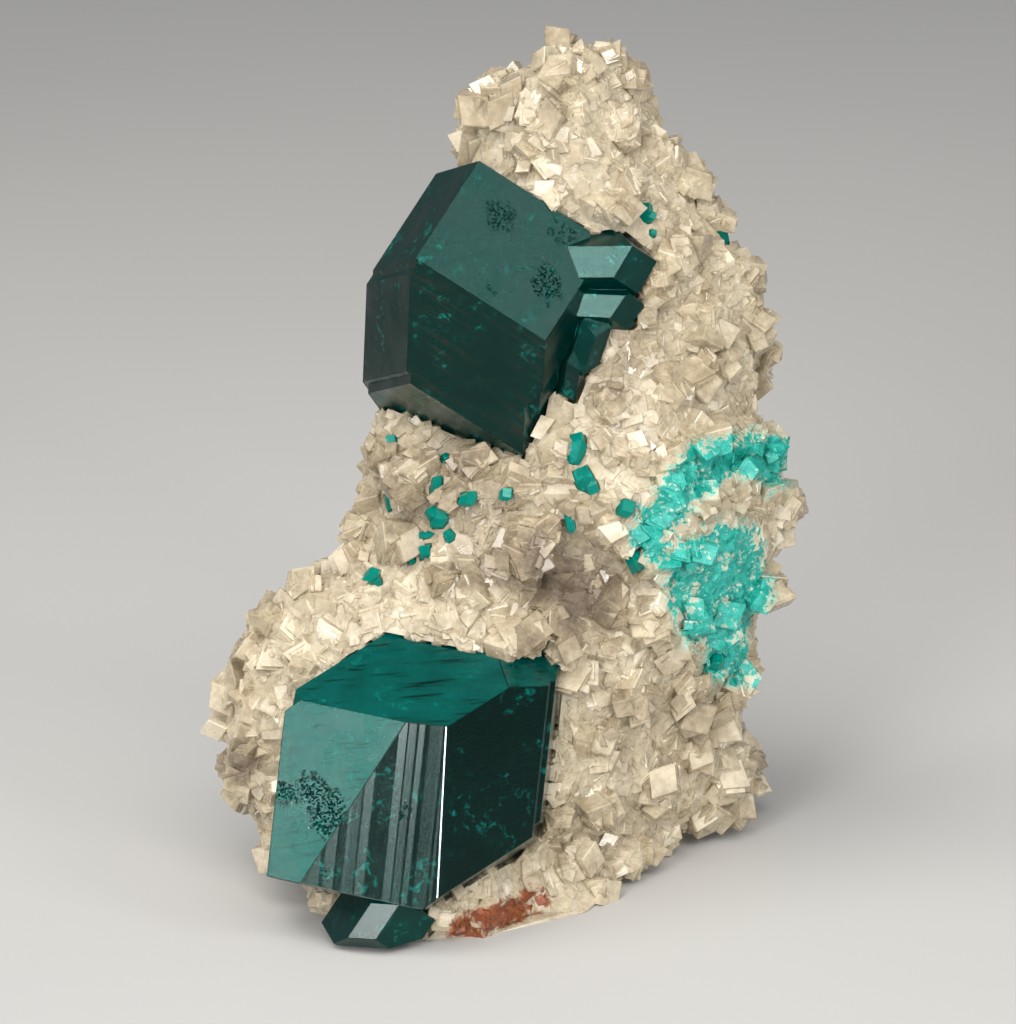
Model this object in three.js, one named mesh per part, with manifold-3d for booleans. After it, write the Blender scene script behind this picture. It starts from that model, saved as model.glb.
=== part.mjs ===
// Dioptase on calcite, a loose hand specimen: two large green dioptase crystals and a scatter of small ones
// on a wedge of intergrown calcite rhombohedra, standing on a flat cut under the calcite.
//
// The specimen is laid out in the axes of its display face: x to the right, y up the face and z out of it.
// The whole face then leans back by FACE_LEAN, which brings the cut underneath to the level z = 0 of the
// finished part. The origin is the point of the cut that lies below the middle of the specimen.
import * as THREE from "three";
import { mergeVertices } from "three/addons/utils/BufferGeometryUtils.js";
import { MeshSurfaceSampler } from "three/addons/math/MeshSurfaceSampler.js";
import Module from "manifold-3d";

const wasm = await Module();
wasm.setup();

// Driving dimensions, in millimetres and degrees.
const FACE_LEAN = 18; // how far the display face leans back from upright
const LARGE_POCKET_GAP = 0.25; // room between the calcite and a large crystal
const SMALL_POCKET_GAP = 0.08; // room between the calcite and a small crystal
const RHOMB_EDGE = [1.9, 3.6]; // shortest and longest edge of the front's calcite rhombohedra
const BACK_RHOMB_EDGE = [3.4, 6.4]; // the same on the broken back
const FRONT_RHOMBS = 150;
const BACK_RHOMBS = 32;
const RHOMB_SPACING = 0.95; // least way between neighbours' centres, as a share of the larger one's edge
const RHOMB_SINK = 0.1; // how deep a rhombohedron's centre lies in the core, as a share of its edge
const RHOMB_SPREAD = 0.7; // how far the rhombohedra's c axes stray from the surface's outward direction
const CORE_ROUGHNESS = 0.5; // how far a point of the core stands out or lies back at random
const FLOOR_CLEARANCE = 0.8; // the lowest rhombohedra have their centres this far above the cut

// Crystal angles, in degrees.
const DIOPTASE_END_FACE = 50.96; // between the c axis and the normal of an end rhombohedron's face
const CALCITE_EDGE = 63.7; // between the c axis and an edge of a cleavage rhombohedron
const ROUGH_BLOCK = 6; // side of the block a dioptase crystal is cut from, against its largest face distance

const rad = THREE.MathUtils.degToRad;
const sinLean = Math.sin(rad(FACE_LEAN));
const cosLean = Math.cos(rad(FACE_LEAN));

// Height above the cut of a point laid out on the display face.
const heightOf = (p) => p.y * cosLean + p.z * sinLean;

// A repeatable stream of numbers between 0 and 1.
function numberStream(seed) {
  let state = seed >>> 0;
  return () => {
    state = (state + 0x6d2b79f5) >>> 0;
    let t = Math.imul(state ^ (state >>> 15), 1 | state);
    t = (t + Math.imul(t ^ (t >>> 7), 61 | t)) ^ t;
    return ((t ^ (t >>> 14)) >>> 0) / 2 ** 32;
  };
}

function randomDirection(random) {
  const z = 2 * random() - 1;
  const turn = 2 * Math.PI * random();
  const across = Math.sqrt(1 - z * z);
  return new THREE.Vector3(across * Math.cos(turn), across * Math.sin(turn), z);
}

function solidOf(geometry) {
  const bare = geometry.clone();
  bare.deleteAttribute("normal");
  bare.deleteAttribute("uv");
  const merged = mergeVertices(bare, 1e-4);
  const mesh = new wasm.Mesh({
    numProp: 3,
    vertProperties: merged.attributes.position.array,
    triVerts: new Uint32Array(merged.index.array),
  });
  return new wasm.Manifold(mesh);
}

function geometryOf(solid) {
  const mesh = solid.getMesh();
  const geometry = new THREE.BufferGeometry();
  geometry.setAttribute("position", new THREE.BufferAttribute(mesh.vertProperties, 3));
  geometry.setIndex(new THREE.BufferAttribute(mesh.triVerts, 1));
  return geometry;
}

const cutBack = (solid, outward, distance) =>
  solid.trimByPlane([-outward.x, -outward.y, -outward.z], -distance);

function largestBody(solid) {
  const bodies = solid.decompose();
  return bodies.reduce((best, body) => (body.volume() > best.volume() ? body : best));
}

// A dioptase crystal: a block cut back to its six prism faces, 60 degrees apart round the c axis, and to the
// three faces of the rhombohedron at each end, which sit over every other prism edge. Faces are named by end
// and azimuth, and a size given for one face overrides that of its family. "axis" is the c axis, "front" the
// way azimuth 0 looks, and the sizes are distances of the faces from the crystal's centre.
function dioptase({ at, axis, front, prism, top, bottom, faces = {} }, gap = 0) {
  const c = new THREE.Vector3(...axis).normalize();
  const a = new THREE.Vector3(...front);
  a.addScaledVector(c, -a.dot(c)).normalize();
  const b = c.clone().cross(a);
  const block = ROUGH_BLOCK * Math.max(prism, top, bottom);
  let crystal = solidOf(new THREE.BoxGeometry(block, block, block));
  const cutFace = (name, azimuth, rise, size) => {
    const across = a.clone().multiplyScalar(Math.cos(rad(azimuth)));
    across.addScaledVector(b, Math.sin(rad(azimuth)));
    const outward = across.multiplyScalar(Math.cos(rad(rise))).addScaledVector(c, Math.sin(rad(rise)));
    crystal = cutBack(crystal, outward, (faces[name + azimuth] ?? size) + gap);
  };
  for (let k = 0; k < 6; k += 1) {
    cutFace("prism", 30 + 60 * k, 0, prism);
    if (k % 2 === 0) cutFace("top", 60 * k, 90 - DIOPTASE_END_FACE, top);
    else cutFace("bottom", 60 * k, DIOPTASE_END_FACE - 90, bottom);
  }
  return crystal.translate(at);
}

// Crystals grown into one another, as one solid.
const grownTogether = (crystals, gap = 0) =>
  crystals.map((crystal) => dioptase(crystal, gap)).reduce((all, one) => all.add(one));

const sizes = (prism, top, bottom) => ({ prism, top, bottom });

// The same crystal again, in line with the first, with some of its faces nearer or farther.
const parallelGrowth = (crystal, faces) => ({ ...crystal, faces: { ...crystal.faces, ...faces } });

// The large crystals. Each has its main body first, then the parallel growths that give it its steps, then
// the side crystals that grew into it.
const upperBody = {
  at: [-1.9, 46, 10.8],
  axis: [0.043, 0.876, 0.48],
  front: [0.439, -0.448, 0.779],
  ...sizes(7.8, 6.8, 10.4),
  faces: { prism30: 7.6, prism90: 6, prism210: 6.2, prism150: 6.5, top120: 5.8 },
};
const upperDioptase = [
  upperBody,
  parallelGrowth(upperBody, { prism30: 8.7, prism90: 6.7, bottom300: 9.6, bottom60: 7.6, bottom180: 7.6 }),
  parallelGrowth(upperBody, { prism270: 8.1, prism210: 6.7, bottom300: 9.9, top240: 6.3, top0: 6.3 }),
  parallelGrowth(upperBody, { prism30: 8.2, prism330: 7.1, bottom60: 8.8 }),
  {
    at: [6.6, 46.55, 13.4],
    axis: [0.98, 0, 0.2],
    front: [-0.17, -0.5, 0.85],
    ...sizes(2.06, 2.95, 3),
    faces: { prism30: 1.62, prism210: 3.6, prism270: 2.5, top240: 3.6 },
  },
  {
    at: [7.3, 43.75, 13.3],
    axis: [0.98, -0.05, 0.2],
    front: [-0.17, -0.5, 0.85],
    ...sizes(1.5, 2, 3),
    faces: { top240: 2.3 },
  },
  { at: [9.6, 45, 13.6], axis: [0.4, 0.5, 0.7], front: [1, 0, 0.2], ...sizes(0.4, 0.5, 0.8) },
  { at: [9.3, 42.8, 13.3], axis: [-0.2, 0.4, 0.9], front: [1, 0.4, 0], ...sizes(0.48, 0.5, 0.8) },
  { at: [6.3, 41, 13.2], axis: [0.3, 0.9, 0.3], front: [0.3, 0, 1], ...sizes(1.2, 1.7, 1.9) },
  { at: [5, 38.6, 12.8], axis: [0.1, 0.8, 0.5], front: [0.6, 0, 1], ...sizes(0.9, 1.4, 1.6) },
];

const lowerBody = {
  at: [-3.7, 10.9, 7.8],
  axis: [-0.737, -0.457, 0.498],
  front: [0.35, 0.372, 0.859],
  ...sizes(8.7, 11.7, 7.1),
  faces: { top240: 13.5, top120: 12.1, prism270: 10, prism90: 8.2, prism210: 6, prism150: 7, bottom60: 6.3 },
};
const lowerDioptase = [
  lowerBody,
  parallelGrowth(lowerBody, { top0: 11.2, prism90: 9.2, prism30: 8.1, top120: 11.6, bottom60: 6.9 }),
  parallelGrowth(lowerBody, { bottom300: 7.5, bottom60: 7.6, prism330: 8.3, prism30: 7.4, prism270: 9.3 }),
  parallelGrowth(lowerBody, { prism30: 8.4, prism90: 5.2, prism330: 6.1, bottom60: 6.7 }),
  {
    at: [-9.6, -2.7, 14.9],
    axis: [0.97, -0.05, 0.25],
    front: [-0.2, -0.5, 0.85],
    ...sizes(2.4, 2.9, 3.4),
    faces: { prism90: 1.2, top0: 2.5, bottom300: 2.15 },
  },
];

// The small crystals: where each lies on the calcite, its c axis, how far its prism faces and its end faces
// are from its centre, and for a smaller one grown into it, which way that lies and its c axis.
const smallDioptases = [
  { at: [-8.7, 33.4], axis: [0.3, 0.8, 0.5], size: [0.5, 0.54] },
  { at: [-4.5, 32.2], axis: [-0.5, 0.6, 0.6], size: [0.35, 0.38] },
  { at: [-5.1, 30], axis: [0.2, 0.9, 0.3], size: [0.54, 0.66] },
  { at: [-8.7, 28.9], axis: [-0.1, 0.9, 0.5], size: [0.42, 0.59] },
  { at: [-2.9, 29.1], axis: [0.8, 0.2, 0.6], size: [0.5, 0.57], twin: [[0.85, 0.4, 0.1], [0.2, 0.7, 0.7]] },
  { at: [0.1, 29.5], axis: [0.5, 0.5, 0.7], size: [0.5, 0.5] },
  { at: [-4.9, 27.7], axis: [0.4, 0.7, 0.6], size: [0.71, 0.78], twin: [[-0.7, 0.3, 0.2], [-0.6, 0.5, 0.6]] },
  { at: [-5.9, 26.4], axis: [0.95, 0.1, 0.2], size: [0.26, 0.52] },
  { at: [-4.2, 26.3], axis: [-0.3, 0.8, 0.5], size: [0.4, 0.42] },
  { at: [-0.1, 26], axis: [0.6, 0.2, 0.8], size: [0.28, 0.28] },
  { at: [-6, 25.1], axis: [0.1, 0.6, 0.8], size: [0.54, 0.57] },
  { at: [-7.1, 24.4], axis: [-0.7, 0.3, 0.6], size: [0.33, 0.33] },
  { at: [5.4, 32.8], axis: [0.25, 0.95, 0.2], size: [0.65, 0.97] },
  { at: [6, 30.6], axis: [-0.4, 0.7, 0.6], size: [0.73, 0.8], twin: [[0.65, -0.6, 0.1], [0.7, -0.5, 0.4]] },
  { at: [4.9, 27.4], axis: [-0.2, 0.95, 0.2], size: [0.33, 0.59] },
  { at: [9.2, 28.4], axis: [0.6, 0.5, 0.6], size: [0.66, 0.68] },
  { at: [9.9, 24.3], axis: [-0.3, 0.6, 0.7], size: [0.61, 0.71] },
  { at: [-10.2, 23.2], axis: [0.7, 0.6, 0.3], size: [0.5, 0.57], twin: [[0.7, -0.5, 0], [0.8, -0.5, 0.3]] },
  { at: [10.6, 50.8], axis: [0.3, 0.8, 0.5], size: [0.54, 0.66], twin: [[0.7, -0.5, 0.1], [0.7, 0.4, 0.5]] },
  { at: [11.2, 49.3], axis: [0.6, 0.5, 0.6], size: [0.28, 0.31] },
  { at: [16.6, 49.1], axis: [-0.2, 0.9, 0.4], size: [0.54, 0.76] },
  { at: [17.4, 42.2], axis: [0.5, 0.6, 0.6], size: [0.28, 0.31] },
  { at: [16.3, 16.5], axis: [0.5, 0.7, 0.5], size: [0.54, 0.59] },
];
const SMALL_CRYSTAL_SINK = 0.25; // how deep a small crystal's centre lies below the calcite's surface
const TWIN_SIZE = 0.72; // a grown-in smaller crystal against its neighbour

// The calcite's core, as level cuts up the display face. Each names four points of the cut as [x, z]: the
// left edge, the front, the right edge and the back.
const calciteLevels = [
  { y: 63.4, left: [3.8, 10], front: [5.8, 11], right: [7.4, 9.6], back: [6, 8.4] },
  { y: 62, left: [2.2, 10], front: [5.8, 13], right: [9, 9], back: [6, 5.5] },
  { y: 60.4, left: [-1, 10], front: [5, 14.6], right: [10.4, 8], back: [5, 3] },
  { y: 57.4, left: [-2.1, 10], front: [5, 15.4], right: [11.6, 7.5], back: [5, 1.5] },
  { y: 54.3, left: [-2.4, 9.5], front: [6, 15.2], right: [13.8, 7], back: [6, 0] },
  { y: 51.3, left: [-3.4, 9], front: [7, 14.6], right: [15.2, 6], back: [6, -1] },
  { y: 48.2, left: [-5, 8.5], front: [8, 14.2], right: [17.3, 5], back: [6, -3] },
  { y: 44.4, left: [-6.6, 8], front: [8, 14], right: [19.3, 4], back: [6, -4.5] },
  { y: 40.5, left: [-8, 6], front: [8, 13.4], right: [19.2, 3.5], back: [6, -6] },
  { y: 36.7, left: [-9.4, 5.5], front: [8, 13], right: [19.2, 3], back: [6, -7] },
  { y: 32.9, left: [-10.4, 5.5], front: [5, 13.6], right: [20.4, 2], back: [5, -8.5] },
  { y: 29.1, left: [-10.2, 5.5], front: [4, 14], right: [21.6, 1], back: [5, -10] },
  { y: 25.2, left: [-11, 5], front: [3, 13.4], right: [21.4, 0], back: [4, -12] },
  { y: 21.4, left: [-17, 4.5], front: [1, 13.4], right: [19.2, -1], back: [3, -13] },
  { y: 17.6, left: [-19.4, 4], front: [-1, 13.2], right: [19.4, -4], back: [2, -14] },
  { y: 13.8, left: [-21, 3.5], front: [-3, 13], right: [18, -6], back: [2, -15] },
  { y: 9.9, left: [-21.8, 3.5], front: [-4, 13], right: [19, -9], back: [2, -16] },
  { y: 6.1, left: [-20, 4], front: [-6, 13.4], right: [19, -11.5], back: [3, -17] },
  { y: 4.2, left: [-18.6, 4.5], front: [-6.5, 14], right: [18, -13], back: [4, -17] },
  { y: 2.4, left: [-17.4, 5], front: [-7, 14.6], right: [11, -5], back: [4, -14] },
  { y: -1.5, left: [-13, 8], front: [-8, 16], right: [8.4, 5], back: [0, 2] },
  { y: -5.2, left: [-9.4, 16], front: [-7.6, 17.6], right: [-4.6, 16], back: [-7, 12] },
];
const LEVEL_ROWS = 27;
const ROUND_STEPS = 22;

// Swellings and hollows of the core. "rise" is along z, outward on the front and on the back alike.
const calciteLumps = [
  { face: "front", at: [5.6, 22.4], reach: 3, rise: -3.2 },
  { face: "front", at: [14, 26], reach: 5, rise: 2.4 },
  { face: "front", at: [11.5, 33.5], reach: 3.4, rise: 1.6 },
  { face: "front", at: [8.5, 38], reach: 3, rise: -0.8 },
  { face: "front", at: [-2.5, 36], reach: 4.5, rise: -3.4 },
  { face: "front", at: [12.6, 15], reach: 3.6, rise: 2.2 },
  { face: "front", at: [-14.5, 20], reach: 3.6, rise: 2 },
  { face: "front", at: [-7.5, 29], reach: 3.4, rise: 1.8 },
  { face: "front", at: [6, 57], reach: 3.5, rise: 1 },
  { face: "front", at: [8, 3], reach: 4, rise: 1.5 },
  { face: "front", at: [2.4, -2.2], reach: 3.4, rise: -5 },
  { face: "back", at: [-8, 14], reach: 5, rise: 3 },
  { face: "back", at: [12, 20], reach: 6, rise: -3 },
  { face: "back", at: [4, 36], reach: 6, rise: 2 },
  { face: "back", at: [8, 50], reach: 4, rise: -2 },
];

// The core starts as a sphere, whose rows become the level cuts and whose poles close it.
function calciteCore() {
  const sides = ["left", "front", "right", "back"];
  const runs = sides.map((side) => {
    const points = calciteLevels.map(({ y, [side]: [x, z] }) => new THREE.Vector3(x, y, z));
    return new THREE.CatmullRomCurve3(points, false, "centripetal");
  });
  const core = new THREE.SphereGeometry(1, ROUND_STEPS, LEVEL_ROWS);
  const { position, uv } = core.attributes;
  const random = numberStream(11);
  const points = LEVEL_ROWS * ROUND_STEPS;
  const unevenness = Array.from({ length: points }, () => CORE_ROUGHNESS * (2 * random() - 1));
  const point = new THREE.Vector3();
  for (let i = 0; i < position.count; i += 1) {
    const down = 1 - uv.getY(i);
    const row = Math.round(down * LEVEL_ROWS);
    const corners = runs.map((run) => run.getPoint(down));
    if (row === 0 || row === LEVEL_ROWS) {
      point.copy(corners[0]).add(corners[2]).multiplyScalar(0.5);
      point.y += row === 0 ? 0.3 : -0.3;
    } else {
      const round = new THREE.CatmullRomCurve3(corners, true, "centripetal");
      const step = (i % (ROUND_STEPS + 1)) % ROUND_STEPS;
      const turn = step / ROUND_STEPS;
      round.getPoint(turn, point);
      const facing = Math.sin(2 * Math.PI * turn);
      for (const { face, at, reach, rise } of calciteLumps) {
        const side = face === "front" ? 1 : -1;
        const share = Math.max(0, side * facing);
        const away = Math.hypot(point.x - at[0], point.y - at[1]) / reach;
        point.z += side * rise * share * Math.exp(-away * away);
      }
      const out = unevenness[row * ROUND_STEPS + step];
      point.x -= out * Math.cos(2 * Math.PI * turn);
      point.z += out * facing;
    }
    position.setXYZ(i, point.x, point.y, point.z);
  }
  return mergeVertices(core.deleteAttribute("normal").deleteAttribute("uv"), 1e-4);
}

// A calcite cleavage rhombohedron with its centre at "at" and its c axis along "axis".
function calciteRhomb(at, axis, spin, edge) {
  const c = axis.clone().normalize();
  const a = new THREE.Vector3(1, 0, 0).cross(c).normalize().applyAxisAngle(c, spin);
  const edges = [0, 1, 2].map((k) => {
    const out = a.clone().applyAxisAngle(c, (k * 2 * Math.PI) / 3);
    out.multiplyScalar(Math.sin(rad(CALCITE_EDGE))).addScaledVector(c, Math.cos(rad(CALCITE_EDGE)));
    return out.multiplyScalar(edge);
  });
  const rhomb = new THREE.BoxGeometry(1, 1, 1);
  rhomb.applyMatrix4(new THREE.Matrix4().makeBasis(...edges));
  rhomb.translate(at.x, at.y, at.z);
  return solidOf(rhomb);
}

// Rhombohedra scattered over the core, each with its c axis near the surface's own outward direction.
function calciteDruse(core) {
  const random = numberStream(29);
  const flat = core.toNonIndexed();
  flat.computeVertexNormals();
  const sampler = new MeshSurfaceSampler(new THREE.Mesh(flat)).setRandomGenerator(random).build();
  const at = new THREE.Vector3();
  const outward = new THREE.Vector3();
  const rhombs = [];
  const places = [];
  const grow = (count, [shortest, longest], wanted) => {
    let made = 0;
    while (made < count) {
      sampler.sample(at, outward);
      const edge = shortest + (longest - shortest) * random() ** 2;
      const axis = outward.clone().addScaledVector(randomDirection(random), RHOMB_SPREAD);
      const spin = 2 * Math.PI * random();
      const tooNear = (place) => place.at.distanceTo(at) < RHOMB_SPACING * Math.max(edge, place.edge);
      if (places.some(tooNear) || !wanted(outward) || heightOf(at) < FLOOR_CLEARANCE) continue;
      places.push({ at: at.clone(), edge });
      const centre = at.clone().addScaledVector(outward, -RHOMB_SINK * edge);
      rhombs.push(calciteRhomb(centre, axis, spin, edge));
      made += 1;
    }
  };
  grow(FRONT_RHOMBS, RHOMB_EDGE, (normal) => normal.z > -0.25);
  grow(BACK_RHOMBS, BACK_RHOMB_EDGE, (normal) => normal.z <= -0.25);
  return rhombs;
}

const WELL_IN_FRONT = 60; // beyond everything on the display face

// Where a line straight into the display face at x, y first meets a solid.
function surfacePoint(solid, [x, y]) {
  const ray = new THREE.Raycaster(new THREE.Vector3(x, y, WELL_IN_FRONT), new THREE.Vector3(0, 0, -1));
  const [hit] = ray.intersectObject(new THREE.Mesh(geometryOf(solid)));
  return hit.point;
}

// One small crystal, with the smaller one grown into it where it has one.
function smallCrystal({ at, axis, size: [prism, end], twin }, ground) {
  const centre = surfacePoint(ground, at);
  centre.z -= SMALL_CRYSTAL_SINK * prism;
  const body = { at: centre.toArray(), axis, front: [1, 0, 0.3], ...sizes(prism, end, end) };
  if (!twin) return [body];
  const [way, twinAxis] = twin;
  const beside = new THREE.Vector3(...way).multiplyScalar(prism).add(centre);
  const small = sizes(TWIN_SIZE * prism, TWIN_SIZE * end, TWIN_SIZE * end);
  return [body, { ...body, ...small, at: beside.toArray(), axis: twinAxis }];
}

const core = calciteCore();
const grown = wasm.Manifold.union([solidOf(core), ...calciteDruse(core)]);
let calcite = cutBack(grown, new THREE.Vector3(0, -cosLean, -sinLean), 0);
calcite = calcite.subtract(grownTogether(upperDioptase, LARGE_POCKET_GAP));
calcite = calcite.subtract(grownTogether(lowerDioptase, LARGE_POCKET_GAP));
const smalls = smallDioptases.map((crystal) => smallCrystal(crystal, grown));
for (const small of smalls) calcite = calcite.subtract(grownTogether(small, SMALL_POCKET_GAP));

const specimen = new THREE.Group();
specimen.rotation.x = rad(90 - FACE_LEAN);

function place(name, solid, color, roughness) {
  const look = new THREE.MeshStandardMaterial({ color, roughness, metalness: 0, flatShading: true });
  const mesh = new THREE.Mesh(geometryOf(solid), look);
  mesh.name = name;
  specimen.add(mesh);
}

place("calcite_matrix", largestBody(calcite), "#cdbfae", 0.35);
place("upper_dioptase", grownTogether(upperDioptase), "#1d5a4b", 0.12);
place("lower_dioptase", grownTogether(lowerDioptase), "#125a4c", 0.12);
smalls.forEach((small, i) => {
  const name = "small_dioptase_" + String(i + 1).padStart(2, "0");
  place(name, grownTogether(small), "#1f7c62", 0.15);
});

export default specimen;
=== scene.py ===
# %% [markdown]
# # Two dioptase crystals on calcite
# The specimen is a wedge of cream calcite, thick with small sparkling rhombohedra. Two large green dioptase
# crystals and a scatter of small ones have grown on it. The solid forms of the calcite and of every crystal
# come ready made, at their real size and place. This lesson dresses them: the crystals get their bevelled
# edges, growth lines and etch pits, the calcite gets its thousands of small crystals, and every surface gets
# a material of its own.

# %% Load the specimen
import math

import bmesh
import bpy
import numpy as np
from mathutils import Matrix, Vector, noise
from mathutils.bvhtree import BVHTree


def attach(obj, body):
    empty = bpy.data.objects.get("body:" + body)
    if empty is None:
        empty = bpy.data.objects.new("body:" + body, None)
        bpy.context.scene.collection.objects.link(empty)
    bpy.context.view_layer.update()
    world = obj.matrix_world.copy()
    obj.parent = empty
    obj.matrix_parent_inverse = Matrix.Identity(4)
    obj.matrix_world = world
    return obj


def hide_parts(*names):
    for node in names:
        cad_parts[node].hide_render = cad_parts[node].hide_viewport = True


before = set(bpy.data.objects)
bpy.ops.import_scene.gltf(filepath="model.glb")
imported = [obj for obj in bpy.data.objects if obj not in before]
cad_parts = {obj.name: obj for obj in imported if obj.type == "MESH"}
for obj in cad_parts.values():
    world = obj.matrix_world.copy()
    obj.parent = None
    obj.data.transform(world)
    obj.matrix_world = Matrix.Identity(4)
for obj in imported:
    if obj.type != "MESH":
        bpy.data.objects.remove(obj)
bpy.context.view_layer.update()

# %% [markdown]
# ## The axes of the display face
# A collector looks at this piece from the front, and its front face leans back by 18 degrees. It is easier
# to say where something is in the axes of that face: x to the right, y up the face and z out of it, in
# millimetres. One turn about X brings those axes to the part's own, where Z is up.

# %% Face axes
MM = 0.001
FACE_LEAN = 18
FACE = Matrix.Rotation(math.radians(90 - FACE_LEAN), 4, "X")
FACE_TURN = np.array(FACE.to_3x3())


def on_face(x, y, z):
    """The point of the display face x, y, z millimetres from its origin, in the part's axes in metres."""
    return FACE @ Vector((x, y, z)) * MM


def face_millimetres(points):
    """Points in the part's axes, one a row, as millimetres in the axes of the display face."""
    return np.asarray(points) @ FACE_TURN / MM


# %% [markdown]
# ## Camera
# The photograph's perspective is weak, as a long lens gives it from a step away. A 300 mm lens looks
# straight into the display face, so its turn about X is that of the face itself.

# %% Camera
LENS = 300
VIEW_CENTRE = (0.23, 28.15)
VIEW_DISTANCE = 660.5
camera = bpy.data.objects.new("camera", bpy.data.cameras.new("camera"))
bpy.context.scene.collection.objects.link(camera)
camera.data.lens = LENS
camera.data.sensor_width = 36
camera.data.clip_start = 0.05
camera.data.clip_end = 10
camera.location = on_face(*VIEW_CENTRE, VIEW_DISTANCE)
camera.rotation_euler = (math.radians(90 - FACE_LEAN), 0, 0)
bpy.context.scene.camera = camera
bpy.context.scene.view_settings.view_transform = "Standard"

# %% [markdown]
# ## Shader sums written as Python
# A material is a graph of nodes, and arithmetic on masks soon takes dozens of them. The small class below
# wraps a socket, so that `1 - mask * 2` adds the Math nodes by itself. Every other node comes from one
# method of `Finish`, which sets the node's settings first and then its sockets.


# %% A socket that can be added, multiplied and mixed
class Value:
    """An output of a shader node. Arithmetic with numbers or other values adds Math nodes."""

    def __init__(self, finish, socket):
        self.finish = finish
        self.socket = socket

    def _math(self, operation, *values):
        return self.finish.node("ShaderNodeMath", {"operation": operation}, dict(enumerate(values)))

    def __add__(self, other):
        return self._math("ADD", self, other)

    def __radd__(self, other):
        return self._math("ADD", other, self)

    def __sub__(self, other):
        return self._math("SUBTRACT", self, other)

    def __rsub__(self, other):
        return self._math("SUBTRACT", other, self)

    def __mul__(self, other):
        return self._math("MULTIPLY", self, other)

    def __rmul__(self, other):
        return self._math("MULTIPLY", other, self)

    def __pow__(self, other):
        return self._math("POWER", self, other)

    def step(self, low, high):
        """0 below low, 1 above high and a smooth rise between them."""
        settings = {"interpolation_type": "SMOOTHSTEP"}
        inputs = {"Value": self, "From Min": low, "From Max": high}
        return self.finish.node("ShaderNodeMapRange", settings, inputs)

    def larger(self, other):
        return self._math("MAXIMUM", self, other)


class Finish:
    """A material whose nodes are added one call at a time."""

    def __init__(self, name):
        self.material = bpy.data.materials.new(name)
        self.material.use_nodes = True
        self.tree = self.material.node_tree
        self.tree.nodes.clear()

    def node(self, kind, settings=None, inputs=None, output=0):
        made = self.tree.nodes.new(kind)
        for name, value in (settings or {}).items():
            if name == "stops":
                self._set_stops(made.color_ramp.elements, value)
            else:
                setattr(made, name, value)
        for name, value in (inputs or {}).items():
            if isinstance(value, Value):
                self.tree.links.new(value.socket, made.inputs[name])
            else:
                made.inputs[name].default_value = value
        return Value(self, made.outputs[output]) if len(made.outputs) else None

    def _set_stops(self, elements, stops):
        while len(elements) < len(stops):
            elements.new(1)
        for element, (position, colour) in zip(elements, stops):
            element.position = position
            element.color = (*colour, 1)

    def across_face(self):
        """The place on the display face in millimetres, from the Object coordinates."""
        place = self.node("ShaderNodeTexCoord", output=3)
        turn = {"Rotation": (-math.radians(90 - FACE_LEAN), 0, 0), "Scale": (1 / MM,) * 3}
        return self.node("ShaderNodeMapping", {"vector_type": "POINT"}, {"Vector": place, **turn})

    def attribute(self, name):
        return self.node("ShaderNodeAttribute", {"attribute_name": name}, output=2)

    def noise(self, place, size, detail=3, roughness=0.5, distortion=0):
        """Soft noise between 0 and 1, whose clouds are about size millimetres across."""
        inputs = {"Scale": 1 / size, "Detail": detail, "Roughness": roughness, "Distortion": distortion}
        return self.node("ShaderNodeTexNoise", {}, {"Vector": place, **inputs})

    def stretched(self, place, turn, stretch):
        """The same place with lengths scaled along the axes of a turned frame, for streaks."""
        settings = {"vector_type": "TEXTURE"}
        return self.node("ShaderNodeMapping", settings, {"Vector": place, "Rotation": turn, "Scale": stretch})

    def colours(self, value, *stops):
        return self.node("ShaderNodeValToRGB", {"stops": stops}, {"Fac": value})

    def mix(self, mask, without, with_mask):
        """One colour or the other, by a mask."""
        ends = [c if isinstance(c, Value) else (*c, 1) for c in (without, with_mask)]
        return self.node("ShaderNodeMix", {"data_type": "RGBA"}, {0: mask, 6: ends[0], 7: ends[1]}, output=2)

    def bump(self, height, distance, normal=None):
        inputs = {"Height": height, "Distance": distance * MM}
        if normal:
            inputs["Normal"] = normal
        return self.node("ShaderNodeBump", {}, inputs)

    def shine(self, volume=None, **sockets):
        """Ends the graph in a Principled shader whose sockets are named in words joined by _."""
        inputs = {name.replace("_", " "): value for name, value in sockets.items()}
        shader = self.node("ShaderNodeBsdfPrincipled", {"subsurface_method": "BURLEY"}, inputs)
        ends = {"Surface": shader}
        if volume:
            ends["Volume"] = self.node("ShaderNodeVolumeAbsorption", {}, volume)
        self.node("ShaderNodeOutputMaterial", {}, ends)


# %% [markdown]
# ## Floor
# The specimen stands on a plain pale table top. The camera looks down on it, so the table fills the picture
# and no backdrop is needed.


# %% Table top
def link(name, mesh):
    piece = bpy.data.objects.new(name, mesh)
    bpy.context.scene.collection.objects.link(piece)
    return piece


def table_finish():
    finish = Finish("pale_table")
    place = finish.across_face()
    tone = finish.colours(finish.noise(place, 90, 2), (0.3, (0.5, 0.497, 0.49)), (0.7, (0.53, 0.527, 0.52)))
    finish.shine(Base_Color=tone, Roughness=0.7)
    return finish.material


FLOOR_HALF_WIDTH = 3
floor_shape = bmesh.new()
bmesh.ops.create_grid(floor_shape, x_segments=8, y_segments=8, size=FLOOR_HALF_WIDTH)
floor_mesh = bpy.data.meshes.new("floor")
floor_shape.to_mesh(floor_mesh)
floor = link("floor", floor_mesh)
floor_mesh.materials.append(table_finish())
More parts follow.
